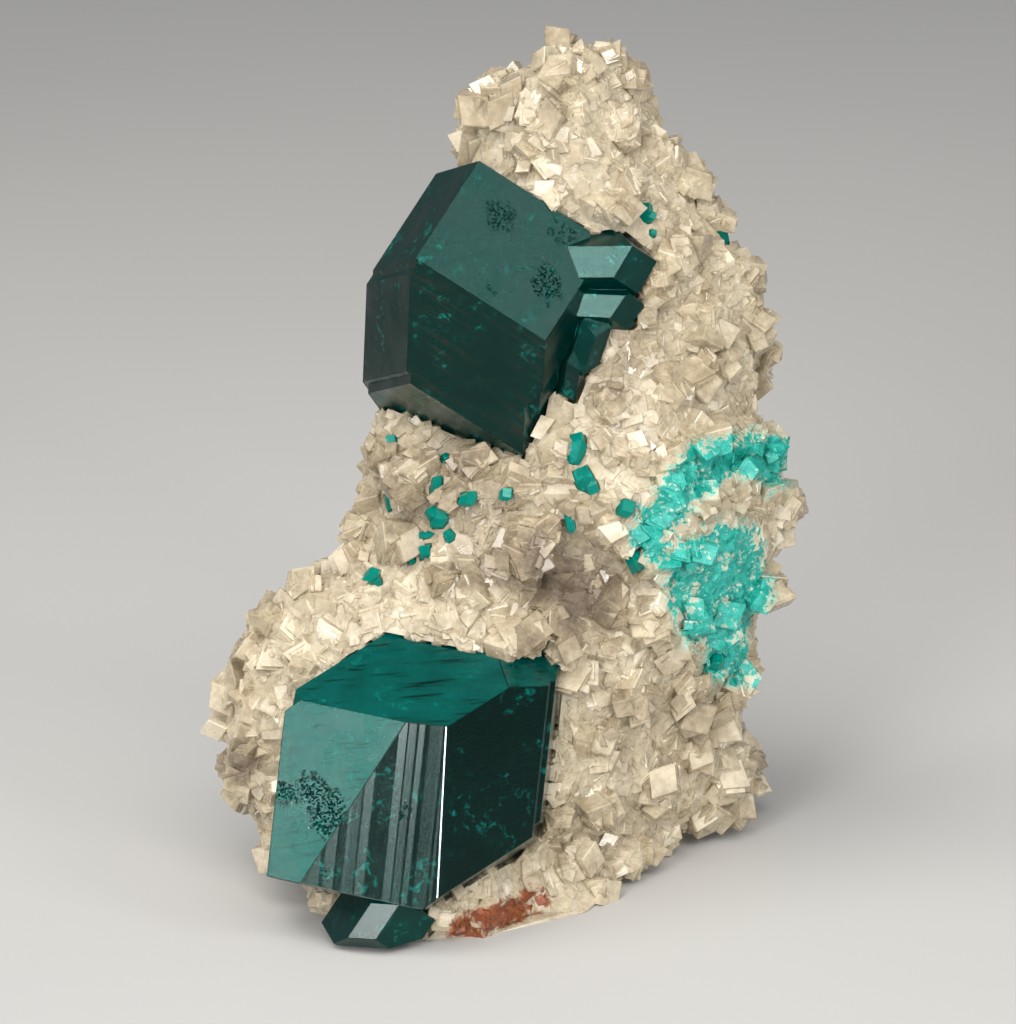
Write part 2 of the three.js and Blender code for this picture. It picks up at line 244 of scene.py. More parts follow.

# %% [markdown]
# ## Light
# Flat crystal faces act as mirrors, so the lights are placed by what each face reflects towards the camera.
# The tilted end faces catch a soft panel each, at the front left and the upper right. The steep side faces
# look past the panels to the sides and stay dark, helped by a near-black base colour painted on them as
# shade, and that contrast is what makes the crystals read as deep. A larger soft panel above gives the plain
# studio light.


# %% Soft panels
MIDDLE = on_face(0, 28, 8)
PANEL_SPREAD = 70


def soft_panel(name, towards, distance, width, height, watts, tint=(1, 1, 1)):
    """An area light in the direction of the display face's axes from the specimen, turned to face it."""
    out = (FACE.to_3x3() @ Vector(towards)).normalized()
    light = bpy.data.lights.new(name, "AREA")
    light.shape = "RECTANGLE"
    light.size = width
    light.size_y = height
    light.energy = watts
    light.color = tint
    light.spread = math.radians(PANEL_SPREAD)
    panel = bpy.data.objects.new(name, light)
    bpy.context.scene.collection.objects.link(panel)
    panel.location = MIDDLE + out * distance
    panel.rotation_mode = "QUATERNION"
    panel.rotation_quaternion = (-out).to_track_quat("-Z", "Y")
    panel.visible_camera = False


soft_panel("front_left_panel", (-0.37, 0.03, 0.92), 0.45, 0.14, 0.16, 0.2)
soft_panel("upper_right_panel", (0.67, 0.36, 0.65), 0.45, 0.14, 0.14, 0.06)
soft_panel("edge_panel", (0.494, -0.177, 0.852), 0.5, 0.05, 0.09, 0.13)
soft_panel("front_panel", (0.12, 0.5, 0.86), 0.6, 0.45, 0.3, 0.34, (1, 0.95, 0.88))
soft_panel("overhead_panel", (-0.4, 0.75, 0.55), 0.6, 0.5, 0.35, 0.44, (1, 0.95, 0.88))
soft_panel("left_panel", (-0.85, 0.5, 0.35), 0.5, 0.2, 0.2, 0.05, (0.96, 0.98, 1))
world = bpy.data.worlds.new("studio")
world.use_nodes = True
world.node_tree.nodes["Background"].inputs["Color"].default_value = (0.9, 0.95, 1, 1)
world.node_tree.nodes["Background"].inputs["Strength"].default_value = 0.25
bpy.context.scene.world = world

# %% [markdown]
# ## The look of dioptase
# Dioptase is a deep emerald to teal glass. Light that gets in is partly swallowed on its way, so thin edges
# glow and thick bodies turn almost black: that is absorption in the volume, and it is set with plain
# numbers. The milky teal veils and brown streaks under some faces belong to the base colour. Four values
# kept on the faces say how veiled, how satiny and how streaked with brown each one is, and how much of a thin
# colourless sheen it has. The veil value is painted light and shade as well as veils: faces shown lit get a
# brighter teal base colour, and faces shown in shade a near-black one.


# %% Dioptase material
DIOPTASE_IOR = 1.66
DIOPTASE_SHEEN = (0.19, 0.32, 0.29, 1)
BROWN_STREAKS_TURN = math.radians(-32)
STREAK_BROWN = (0.05, 0.04, 0.024)
DIOPTASE_ABSORPTION = {"Color": (0.0, 0.72, 0.6, 1), "Density": 700}


def dioptase_finish(name, body, veil_colour, clearness):
    finish = Finish(name)
    place = finish.across_face()
    # The veil value is partly milky teal veils and partly painted light and shade, set face by face.
    veil = finish.attribute("veil")
    satin = finish.attribute("satin")
    clouds = finish.noise(place, 4.5, 3, 0.6, 0.4)
    wisps = finish.noise(place, 1.3, 4, 0.65, 0.8)
    veins = finish.noise(place, 0.9, 4, 0.7, 0.5).step(0.54, 0.68) * clouds.step(0.46, 0.6)
    cover = veil * (1.8 * clouds + 0.1) + wisps.step(0.56, 0.75) * 0.12
    colour = finish.mix(cover, body, veil_colour)
    colour = finish.mix(veins * 0.7, colour, tuple(min(0.9, 2.5 * c) for c in veil_colour))
    streaks = finish.stretched(place, (0, 0, 0.1), (6, 0.25, 0.6))
    dark_streaks = finish.noise(streaks, 1, 3, 0.6).step(0.54, 0.7) * veil.step(0.5, 0.9)
    colour = finish.mix(dark_streaks * 0.8, colour, tuple(0.4 * c for c in body))
    # Brown streaks along a slanted ruling, on the faces that carry a brown value.
    ruling = finish.stretched(place, (0, 0, BROWN_STREAKS_TURN), (7, 0.3, 2))
    brown = finish.noise(ruling, 1, 4, 0.6).step(0.48, 0.66) * finish.attribute("brown")
    colour = finish.mix(brown * clouds.step(0.38, 0.6), colour, STREAK_BROWN)
    pits = finish.noise(place, 0.16, 3, 0.6)
    rough = satin * (0.2 + 1.6 * clouds) + wisps.step(0.6, 0.8) * 0.15
    relief = finish.bump(pits, 0.02)
    finish.shine(
        volume=DIOPTASE_ABSORPTION,
        Base_Color=colour,
        Roughness=rough,
        Normal=relief,
        IOR=DIOPTASE_IOR,
        Specular_Tint=DIOPTASE_SHEEN,
        Transmission_Weight=clearness,
        Coat_Weight=finish.attribute("sheen"),
        Coat_Roughness=0.14,
    )
    return finish.material


large_dioptase = dioptase_finish("large_dioptase", (0.0, 0.008, 0.006), (0.0, 0.16, 0.135), 0.6)
small_dioptase = dioptase_finish("small_dioptase", (0.0, 0.22, 0.16), (0.0, 0.50, 0.41), 0.6)

# %% [markdown]
# ## The look of calcite
# The calcite is cream and beige, a little translucent, and its faces are glassy, so it sparkles where a
# face happens to mirror a panel. Each small crystal has its own tone, and its foot is painted darker and
# browner than its tip: that is painted shade in the gaps between the crystals. A turquoise crust colours
# one lobe, and rust stains the rim underneath. Where those two lie is worked out for every vertex when the
# crystals are placed.


# %% Calcite material
CALCITE_IOR = 1.6
CREAM_TONES = (
    (0, (0.17, 0.13, 0.09)),
    (0.3, (0.33, 0.27, 0.18)),
    (0.6, (0.49, 0.42, 0.30)),
    (1, (0.70, 0.64, 0.51)),
)
TURQUOISE_TONES = (
    (0.4, (0.0, 0.14, 0.11)),
    (0.7, (0.0, 0.32, 0.26)),
    (1, (0.08, 0.5, 0.41)),
)
RUST_TONES = ((0.2, (0.07, 0.014, 0.004)), (0.8, (0.30, 0.075, 0.012)))
MINT = (0.30, 0.62, 0.52)


def calcite_finish(name):
    finish = Finish(name)
    place = finish.across_face()
    tone = finish.attribute("tone")
    height = finish.attribute("height")
    clouds = finish.noise(place, 3.2, 3, 0.6, 0.3)
    grain = finish.noise(place, 0.6, 3, 0.6)
    fine = finish.noise(place, 0.12, 2, 0.5)
    # Painted shade: the height value is low at each crystal's foot and high at its tip, so the gaps come out
    # darker.
    lightness = 0.3 + 0.12 * tone + 0.3 * height + tone.step(0.96, 1) * 0.35
    # Painted shade and real tone: darker under the upper crystal and in a hollow as painted shade, and greyer
    # or browner at a few places.
    lightness = lightness + (clouds - 0.5) * 0.9 + (grain - 0.5) * 0.5 - finish.attribute("dull") * 0.7
    cream = finish.colours(lightness, *CREAM_TONES)
    crust = finish.attribute("turquoise")
    patches = (finish.noise(place, 1.7, 2, 0.6) - 0.5) * 2 + (finish.noise(place, 0.4, 2, 0.6) - 0.5) * 2
    crust = crust + patches * crust.step(0, 0.4)
    velvet = fine * 0.6 + grain * 0.8
    turquoise = finish.colours(velvet, *TURQUOISE_TONES)
    cream = finish.mix(crust.step(0.1, 0.5) * 0.45, cream, MINT)
    cream = finish.mix(crust.step(0.42, 0.62), cream, turquoise)
    stain = finish.attribute("rust")
    stain = stain + (finish.noise(place, 0.9, 3, 0.65) - 0.5) * 1.6 * stain.step(0, 0.3)
    rust = finish.colours(fine + (grain - 0.5), *RUST_TONES)
    cream = finish.mix(stain.step(0.35, 0.75), cream, rust)
    rough = 0.12 + 0.3 * grain + crust.step(0.4, 0.6) * 0.25 + stain.step(0.3, 0.6) * 0.3
    relief = finish.bump(fine, 0.01)
    finish.shine(
        Base_Color=cream,
        Roughness=rough,
        Normal=relief,
        IOR=CALCITE_IOR,
        Subsurface_Weight=0.2,
        Subsurface_Radius=(1.0, 0.85, 0.6),
        Subsurface_Scale=1.6 * MM,
    )
    return finish.material


calcite_body = calcite_finish("calcite_body")
calcite_druse = calcite_finish("calcite_druse")

# %% [markdown]
# ## Where colour lies on the calcite
# The crust and the stain follow lines on the display face. Each line gives a value of 1 on it that falls off
# smoothly on both sides. The same functions serve every calcite piece.


# %% Crust and stain lines
TURQUOISE_LINES = [
    [(13.8, 29.9), (14.7, 31.7), (18.9, 32.8), (21.4, 32.6), (20.6, 31.5)],
    [(14.2, 31.0), (11.5, 27.2), (11.2, 26.2)],
    [(13.5, 24.0), (17.9, 26.0), (19.1, 21.4), (16.6, 18.2), (14.9, 19.9), (13.5, 24.0)],
    [(15.6, 22.6), (17.4, 22.8)],
    [(16.9, 16.9), (20.2, 16.4)],
]
RUST_LINES = [[(-3.5, -3.8), (-0.5, -2.4), (2.4, -1.6)]]
TURQUOISE_REACH = 1.6
RUST_REACH = 1.3
# Where the calcite is painted darker: under the upper crystal and in a hollow this is painted shade, and at
# the other places the calcite is greyer or browner. x, y, reach and how much.
DULL_AND_SHADED_PLACES = [
    (-5, 31, 5, 0.4),
    (6, 22.3, 3, 0.8),
    (1, 24, 6, 0.4),
    (8.5, 40, 4, 0.35),
    (-20, 8.6, 1.6, 0.8),
    (12, 12, 4, 0.2),
]


def near_lines(points, lines, reach):
    """How near each point's x and y are to the lines, from 1 on them down to 0."""
    nearest = np.full(len(points), np.inf)
    for line in lines:
        for start, end in zip(np.array(line[:-1], float), np.array(line[1:], float)):
            run = end - start
            along = np.clip((points[:, :2] - start) @ run / (run @ run), 0, 1)
            away = np.linalg.norm(points[:, :2] - start - along[:, None] * run, axis=1)
            nearest = np.minimum(nearest, away)
    return np.exp(-((nearest / reach) ** 2))


def set_values(mesh, domain="POINT", **values):
    """Stores one number for each vertex or face under each name."""
    for name, numbers in values.items():
        layer = mesh.attributes.new(name, "FLOAT", domain)
        layer.data.foreach_set("value", np.asarray(numbers, np.float32))


def colour_values(mesh):
    """Stores each calcite vertex's crust and stain, and its darkening, which is partly painted shade."""
    points = np.empty(3 * len(mesh.vertices))
    mesh.vertices.foreach_get("co", points)
    points = face_millimetres(points.reshape(-1, 3))
    in_front = points[:, 2] > -2
    turquoise = near_lines(points, TURQUOISE_LINES, TURQUOISE_REACH) * in_front
    dull = np.zeros(len(points))
    for x, y, reach, amount in DULL_AND_SHADED_PLACES:
        dull += amount * np.exp(-((points[:, 0] - x) ** 2 + (points[:, 1] - y) ** 2) / reach**2)
    rust = near_lines(points, RUST_LINES, RUST_REACH)
    set_values(mesh, turquoise=turquoise, rust=rust, dull=dull * in_front)


# %% [markdown]
# ## The calcite's body
# The ready-made solid has the wedge's form and its larger crystals. It stays where it is as the ground that
# everything grows on, in a copy with its loose triangles merged so that it can carry values of its own.


# %% Calcite body
def merged_copy(node):
    """A bmesh of a ready-made solid, with its loose triangles joined and flat faces made whole."""
    shape = bmesh.new()
    shape.from_mesh(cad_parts[node].data)
    bmesh.ops.remove_doubles(shape, verts=shape.verts[:], dist=0.002 * MM)
    flat = math.radians(1)
    bmesh.ops.dissolve_limit(shape, angle_limit=flat, verts=shape.verts[:], edges=shape.edges[:])
    return shape


def finished(name, shape, material, *nodes):
    """Makes the bmesh a piece that rides on the specimen and stands for the named nodes."""
    mesh = bpy.data.meshes.new(name)
    shape.to_mesh(mesh)
    shape.free()
    mesh.materials.append(material)
    piece = link(name, mesh)
    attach(piece, "root")
    if nodes:
        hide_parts(*nodes)
    return piece


LUMP = (-6.9, -3.9)
LUMP_REACH = 2.6
LUMP_TOP = 13


def without_lump(shape):
    """Sets one lump of the rock back, because the photo shows a small green crystal in front of it."""
    places = face_millimetres(np.array([v.co[:] for v in shape.verts]))
    for vert, (x, y, z) in zip(shape.verts, places):
        if math.hypot(x - LUMP[0], y - LUMP[1]) < LUMP_REACH and z > LUMP_TOP:
            vert.co -= FACE.to_3x3().col[2] * (z - LUMP_TOP) * MM
            vert.co.z = max(vert.co.z, 0)
    return shape


rock = without_lump(merged_copy("calcite_matrix"))
matrix = finished("calcite_body", rock, calcite_body, "calcite_matrix")
colour_values(matrix.data)
count = len(matrix.data.vertices)
# The body gets one middle tone and a middle level of the painted shade that darkens crystal feet.
set_values(matrix.data, tone=np.full(count, 0.5), height=np.full(count, 0.7))

# %% [markdown]
# ## One calcite crystal
# A calcite crystal of this kind is a cube leaned over along its diagonal, a rhombohedron: its three edges
# stand 63.7 degrees from the long axis. A cube is bevelled first and leaned over afterwards, so all its
# edges get their thin bright bevel. A second form carries low steps on two faces, as growing crystals do,
# and a third has lost its tip.

# %% Calcite rhombohedra
CALCITE_EDGE_ANGLE = math.radians(63.7)


def leaning_edges():
    """The three edge directions of a cleavage rhombohedron whose long axis is Z."""
    edges = []
    for k in range(3):
        turn = 2 * math.pi * k / 3
        out = Vector((math.cos(turn), math.sin(turn), 0)) * math.sin(CALCITE_EDGE_ANGLE)
        edges.append(out + Vector((0, 0, math.cos(CALCITE_EDGE_ANGLE))))
    return edges


LEAN = Matrix(leaning_edges()).transposed().to_4x4()


def plain_rhomb(bevel):
    shape = bmesh.new()
    bmesh.ops.create_cube(shape, size=1)
    if bevel:
        edges = {"geom": shape.edges[:], "affect": "EDGES"}
        bmesh.ops.bevel(shape, **edges, offset=bevel, segments=1, profile=0.5, material=-1)
    return shape


def stepped_rhomb():
    shape = plain_rhomb(0)
    for way in (Vector((0, 0, 1)), Vector((1, 0, 0))):
        face = max(shape.faces, key=lambda f: f.calc_center_median().dot(way))
        bmesh.ops.inset_region(shape, faces=[face], thickness=0.14, use_even_offset=True)
        raised = bmesh.ops.extrude_discrete_faces(shape, faces=[face])["faces"]
        verts = raised[0].verts[:]
        bmesh.ops.translate(shape, verts=verts, vec=way * 0.07 + Vector((0.05, -0.05, 0)))
        bmesh.ops.remove_doubles(shape, verts=shape.verts[:], dist=1e-5)
    return shape


def blunt_rhomb(bevel):
    shape = plain_rhomb(0)
    tip = Vector((0.5, 0.5, 0.5))
    geometry = shape.verts[:] + shape.edges[:] + shape.faces[:]
    cut = bmesh.ops.bisect_plane(shape, geom=geometry, plane_co=tip * 0.72, plane_no=tip, clear_outer=True)
    rim = [e for e in cut["geom_cut"] if isinstance(e, bmesh.types.BMEdge)]
    bmesh.ops.contextual_create(shape, geom=rim)
    edges = {"geom": shape.edges[:], "affect": "EDGES"}
    bmesh.ops.bevel(shape, **edges, offset=bevel, segments=1, profile=0.5, material=-1)
    return shape


def leaned(shape):
    """The vertices and faces of a cube form once it is leaned over to a rhombohedron."""
    bmesh.ops.transform(shape, matrix=LEAN, verts=shape.verts[:])
    bmesh.ops.recalc_face_normals(shape, faces=shape.faces[:])
    shape.verts.index_update()
    verts = np.array([v.co[:] for v in shape.verts])
    faces = [[v.index for v in f.verts] for f in shape.faces]
    triangles = sum(len(f) - 2 for f in faces)
    shape.free()
    return verts, faces, triangles


def laid_flat(rhomb):
    """The same crystal lying so that one of its faces looks along Z."""
    verts, faces, triangles = rhomb
    one, other, _ = leaning_edges()
    turn = one.cross(other).rotation_difference(Vector((0, 0, 1))).to_matrix()
    return verts @ np.array(turn).T, faces, triangles


RHOMBS = {
    "plain": leaned(plain_rhomb(0.045)),
    "stepped": leaned(stepped_rhomb()),
    "blunt": leaned(blunt_rhomb(0.04)),
    "grain": leaned(plain_rhomb(0)),
}
RHOMBS |= {"flat_" + name: laid_flat(rhomb) for name, rhomb in RHOMBS.items()}
print("triangles a crystal:", {name: shape[2] for name, shape in RHOMBS.items()})

# %% [markdown]
# ## Where the small crystals grow
# Points are drawn evenly over the ready-made calcite's surface. Each takes a crystal whose long axis strays
# from the surface's outward direction, and whose size follows the region: the tip of the wedge is fine, the
# foot is coarse. Points that would put a crystal into a dioptase or below the cut underneath are left out.


# %% Points on the calcite
def solid_triangles(node):
    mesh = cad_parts[node].data
    mesh.calc_loop_triangles()
    corners = np.empty(3 * len(mesh.loop_triangles), np.int32)
    mesh.loop_triangles.foreach_get("vertices", corners)
    points = np.empty(3 * len(mesh.vertices))
    mesh.vertices.foreach_get("co", points)
    return points.reshape(-1, 3)[corners.reshape(-1, 3)]


dioptase_nodes = sorted(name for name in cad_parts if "dioptase" in name)
dioptase_corners = np.concatenate([solid_triangles(name) for name in dioptase_nodes]).reshape(-1, 3)
dioptase_tree = BVHTree.FromPolygons(
    [Vector(p) for p in dioptase_corners], np.arange(len(dioptase_corners)).reshape(-1, 3).tolist()
)
calcite_triangles = solid_triangles("calcite_matrix")


def surface_points(random, count):
    """Points drawn evenly over the calcite, with the surface's outward direction at each."""
    a, b, c = calcite_triangles.transpose(1, 0, 2)
    across = np.cross(b - a, c - a)
    area = np.linalg.norm(across, axis=1)
    drawn = random.choice(len(area), count, p=area / area.sum())
    u, v = random.random((2, count))
    flip = u + v > 1
    u[flip], v[flip] = 1 - u[flip], 1 - v[flip]
    points = a[drawn] + u[:, None] * (b - a)[drawn] + v[:, None] * (c - a)[drawn]
    return points, across[drawn] / area[drawn][:, None]


def room_around(points):
    """How far each point is from the nearest dioptase, in metres."""
    return np.array([dioptase_tree.find_nearest(Vector(p))[3] for p in points])


# Places on the display face where the crystals are finer or coarser than elsewhere: x, y, reach and share.
SIZE_REGIONS = [
    (8, 60, 7, -0.15),
    (12, 44, 8, -0.1),
    (-15, 17, 7, 0.2),
    (15, 9, 6, 0.25),
    (2, 20, 5, 0.2),
    (-4, 32, 6, 0.1),
    (-2, 56, 5, 0.3),
]


def size_share(points):
    """The size of crystals at each point of the display face, as a share of the usual one."""
    share = np.ones(len(points))
    for x, y, reach, change in SIZE_REGIONS:
        share += change * np.exp(-((points[:, 0] - x) ** 2 + (points[:, 1] - y) ** 2) / reach**2)
    return share


# %% [markdown]
# ## Growing them
# A thousand crystals as a thousand objects would be slow to handle, so each batch becomes one mesh: the form
# is copied by array arithmetic, once for each place, and the copies' faces are numbered on. Two bare places
# stay free of them, where the photograph shows a green crystal in front of the calcite.


# %% Batches of small crystals
FLAT_SPREAD = 0.4
LOOSE_SPREAD = 0.75
BARE_PLACES = ((-7.0, -4.2, 2.8), (3.0, 35.0, 1.9))


def random_turns(random, outward, spread):
    """One frame for each point, whose third axis is near the outward direction."""
    count = len(outward)
    stray = random.normal(size=(count, 3))
    stray /= np.linalg.norm(stray, axis=1)[:, None]
    up = outward + spread * stray * random.random((count, 1)) ** 0.5
    up /= np.linalg.norm(up, axis=1)[:, None]
    side = np.cross(up, random.normal(size=(count, 3)))
    side /= np.linalg.norm(side, axis=1)[:, None]
    return np.stack([side, np.cross(up, side), up], axis=2)


def grow_batch(name, seed, count, sizes, sink, shapes, front=True, keep=None):
    """Makes one mesh of many small crystals, with edges between the two sizes in millimetres."""
    random = np.random.default_rng(seed)
    points, outward = surface_points(random, count)
    place = face_millimetres(points)
    facing = face_millimetres(outward * MM)[:, 2] > -0.25
    edge = (sizes[0] + (sizes[1] - sizes[0]) * random.random(count) ** 2) * MM * size_share(place)
    wanted = (facing == front) & (points[:, 2] > 0.55 * edge + 0.2 * MM)
    for x, y, reach in BARE_PLACES:
        wanted &= np.hypot(place[:, 0] - x, place[:, 1] - y) > reach
    if keep:
        wanted &= keep(place, random)
    points, outward, edge, place = points[wanted], outward[wanted], edge[wanted], place[wanted]
    room = room_around(points)
    edge = np.minimum(edge, room * 1.7)
    kept = (edge > 0.45 * sizes[0] * MM) & (room > 0.35 * MM)
    points, outward, edge = points[kept], outward[kept], edge[kept]
    tone = random.random(len(points))
    kind = random.integers(len(shapes), size=len(points))
    flat = np.array([shape.startswith("flat_") for shape in shapes])[kind]
    turns = random_turns(random, outward, np.where(flat, FLAT_SPREAD, LOOSE_SPREAD)[:, None])
    all_points, all_tones, all_painted_shading, all_faces, start = [], [], [], [], 0
    for k, shape in enumerate(shapes):
        verts, faces, _ = RHOMBS[shape]
        mine = kind == k
        local = np.einsum("nij,vj->nvi", turns[mine], verts) * edge[mine][:, None, None]
        local -= (outward * sink * edge[:, None])[mine][:, None]
        grown = points[mine][:, None] + local
        clear = grown[:, :, 2].min(axis=1) > 0
        # Painted shade: a vertex low on its crystal gets a darker colour than one near its tip.
        rise = np.einsum("nvi,ni->nv", local, outward[mine])[clear] / MM
        all_points.append(grown[clear].reshape(-1, 3))
        all_painted_shading.append(np.clip(0.45 + 0.6 * rise, 0, 1).ravel())
        all_tones.append(np.repeat(tone[mine][clear], len(verts)))
        for n in range(clear.sum()):
            first = start + n * len(verts)
            all_faces.extend([[first + i for i in face] for face in faces])
        start += clear.sum() * len(verts)
    mesh = bpy.data.meshes.new(name)
    mesh.from_pydata(np.concatenate(all_points), [], all_faces)
    mesh.materials.append(calcite_druse)
    set_values(mesh, tone=np.concatenate(all_tones), height=np.concatenate(all_painted_shading))
    colour_values(mesh)
    piece = link(name, mesh)
    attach(piece, "root")
    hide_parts("calcite_matrix")
    print(name, len(points), "crystals,", sum(len(f) - 2 for f in all_faces), "triangles")


SHAPES = ("flat_plain", "flat_stepped", "plain", "flat_plain", "flat_stepped", "blunt")
MIDDLE_HEIGHT = 30


def upper_half(place, random):
    return place[:, 1] + random.normal(size=len(place)) > MIDDLE_HEIGHT


def lower_half(place, random):
    return place[:, 1] + random.normal(size=len(place)) <= MIDDLE_HEIGHT


grow_batch("calcite_large_front", 1, 1600, (1.4, 2.2), 0.5, SHAPES)
grow_batch("calcite_upper_front", 2, 11000, (0.9, 1.7), 0.42, SHAPES, keep=upper_half)
grow_batch("calcite_lower_front", 5, 11000, (1.0, 1.9), 0.42, SHAPES, keep=lower_half)
grow_batch("calcite_fine_front", 3, 9000, (0.5, 0.9), 0.3, ("grain", "flat_grain"))
grow_batch("calcite_back", 4, 8000, (1.0, 2.4), 0.45, SHAPES, front=False)

# %% [markdown]
# ## The faces of the large crystals
# Each face has a name here, its outward direction on the display face, and four values for its material:
# how veiled with milky teal it is, how satiny, how streaked with brown, and how much colourless sheen it
# has. The veil value is also painted light and shade: faces shown lit, such as the lower crystal's upper
# side, get a brighter teal, and faces shown in shade, such as its right side, a near-black base colour. A
# face that looks to the side is clear and sharp, and the end faces in front have a satin sheen.

# %% Faces of the large crystals
UPPER_FACES = {
    "front_end": ((0.368, 0.204, 0.907), 0.3, 0.24, 0, 0),
    "front_side": ((-0.069, -0.477, 0.876), 0.14, 0.12, 0.8, 0),
    "left_side": ((-0.897, -0.177, 0.404), 0.1, 0.5, 0, 0),
    "upper_left_end": ((-0.747, 0.607, 0.272), 0.2, 0.5, 0, 0),
    "lower_end": ((-0.46, -0.845, 0.272), 0.4, 0.25, 0.6, 0),
    "right_side": ((0.829, -0.3, 0.472), 0.2, 0.1, 0.2, 0),
}
# On the lower crystal the veil value is painted light on the upper and front faces and painted shade on the
# right side.
LOWER_FACES = {
    "front_end": ((-0.192, 0.001, 0.981), 0.85, 0.26, 0, 0),
    "front_vicinal": ((-0.105, -0.057, 0.993), 0.04, 0.2, 0, 0.5),
    "small_front": ((-0.199, -0.497, 0.845), 0.1, 0.14, 0, 0.6),
    "bright_edge": ((0.261, -0.075, 0.962), 0.3, 0.1, 0, 1),
    "right_side": ((0.592, -0.082, 0.802), 0.05, 0.04, 0, 0),
    "upper_side": ((0.014, 0.726, 0.687), 0.95, 0.2, 0, 0),
    "upper_corner": ((0.407, 0.726, 0.552), 1, 0.2, 0, 0),
    "left_end": ((-0.989, 0.111, -0.097), 0.3, 0.3, 0, 0),
    "lower_side": ((-0.211, -0.976, 0.057), 0.2, 0.3, 0, 0),
}
OTHER_FACES = (0.25, 0.1, 0, 0)


def outward(faces, name):
    """A named face's outward direction in the part's axes."""
    return (FACE.to_3x3() @ Vector(faces[name][0])).normalized()


def edge_between(faces, one, other):
    return outward(faces, one).cross(outward(faces, other)).normalized()


def faces_along(shape, normal):
    return [f for f in shape.faces if f.normal.dot(normal) > 0.9995]


# %% [markdown]
# ## Bevels
# A natural crystal edge is sharp but not a line without width: it is a hair-thin facet, and it flashes when
# it mirrors a light. Every real corner of the solid gets one, after vertices that lie closer together than
# the bevel is wide have been joined.

# %% Bevels
BEVEL_WIDTH = 0.05 * MM
BRIGHT_EDGE_WIDTH = 0.11 * MM


def bevelled(shape, width):
    """Joins vertices closer than the bevel and bevels every edge that is a real corner."""
    bmesh.ops.remove_doubles(shape, verts=shape.verts[:], dist=2 * width)
    bmesh.ops.dissolve_degenerate(shape, edges=shape.edges[:], dist=0.5 * width)
    sharp = [e for e in shape.edges if e.is_manifold and e.calc_face_angle() > math.radians(4)]
    edges = {"geom": sharp, "affect": "EDGES", "clamp_overlap": True}
    bmesh.ops.bevel(shape, **edges, offset=width, segments=1, profile=0.5, material=-1)
    return shape


def bright_edge(shape, faces, one, other, width):
    """Gives the edge between two named faces a wider bevel than the rest."""
    ways = outward(faces, one), outward(faces, other)
    meeting = []
    for edge in shape.edges:
        looks = [max(range(2), key=lambda k: f.normal.dot(ways[k])) for f in edge.link_faces]
        near = all(max(f.normal.dot(way) for way in ways) > 0.98 for f in edge.link_faces)
        if near and sorted(looks) == [0, 1]:
            meeting.append(edge)
    edges = {"geom": meeting, "affect": "EDGES", "clamp_overlap": True}
    bmesh.ops.bevel(shape, **edges, offset=width, segments=1, profile=0.5, material=-1)
    print("  bright edge:", len(meeting), "edges")


# %% [markdown]
# ## Faces that bend
# The front end of the lower crystal isn't one plane. Its right part leans away by a few degrees, along a
# line that runs from the upper right corner down to the left. One cut by a tilted plane makes it, and another
# cut makes the place where the upper side steps down to the right.

# %% Cuts on the lower crystal
BEND_START = (-7.45, 12.35)
BEND_END = (-15.4, 0.2)
CORNER_START = (-0.75, 14.92)


def point_on(shape, normal, place):
    """The point of the largest face along the normal that lies over x and y on the display face."""
    into = FACE.to_3x3().col[2]
    face = max(faces_along(shape, normal), key=lambda f: f.calc_area())
    start = on_face(*place, 0)
    return start + into * (face.verts[0].co - start).dot(normal) / into.dot(normal)


def cut_away(shape, place, normal):
    """Cuts off what lies beyond a plane and closes the cut."""
    geometry = shape.verts[:] + shape.edges[:] + shape.faces[:]
    cut = bmesh.ops.bisect_plane(shape, geom=geometry, plane_co=place, plane_no=normal, clear_outer=True)
    rim = [e for e in cut["geom_cut"] if isinstance(e, bmesh.types.BMEdge)]
    made = bmesh.ops.edgeloop_fill(shape, edges=rim)["faces"]
    areas = [round(f.calc_area() / MM**2, 1) for f in made]
    bmesh.ops.remove_doubles(shape, verts=shape.verts[:], dist=0.01 * MM)
    open_edges = [e for e in shape.edges if len(e.link_faces) != 2]
    print("  cut away:", areas, "square mm of new face,", len(open_edges), "open edges left")


def bend_front(shape, faces):
    """Cuts the front by the plane of its vicinal face, which meets the front end along the bend."""
    front = outward(faces, "front_end")
    start, end = (point_on(shape, front, place) for place in (BEND_START, BEND_END))
    run = (end - start).normalized()
    lean = outward(faces, "front_vicinal")
    cut_away(shape, start, (lean - run * lean.dot(run)).normalized())


def drop_corner(shape, faces):
    """Cuts the upper right corner back, where the crystal's upper side steps down."""
    start = point_on(shape, outward(faces, "right_side"), CORNER_START)
    cut_away(shape, start, outward(faces, "upper_corner"))


# %% [markdown]
# ## Growth lines
# Where a crystal grew in pulses, its face is ruled with fine parallel ridges. `bisect_plane` cuts the face
# along each line, and then every cut moves in by its own small depth. The strips between the cuts are left
# tilted by a degree or two, so some of them catch the light and others miss it.

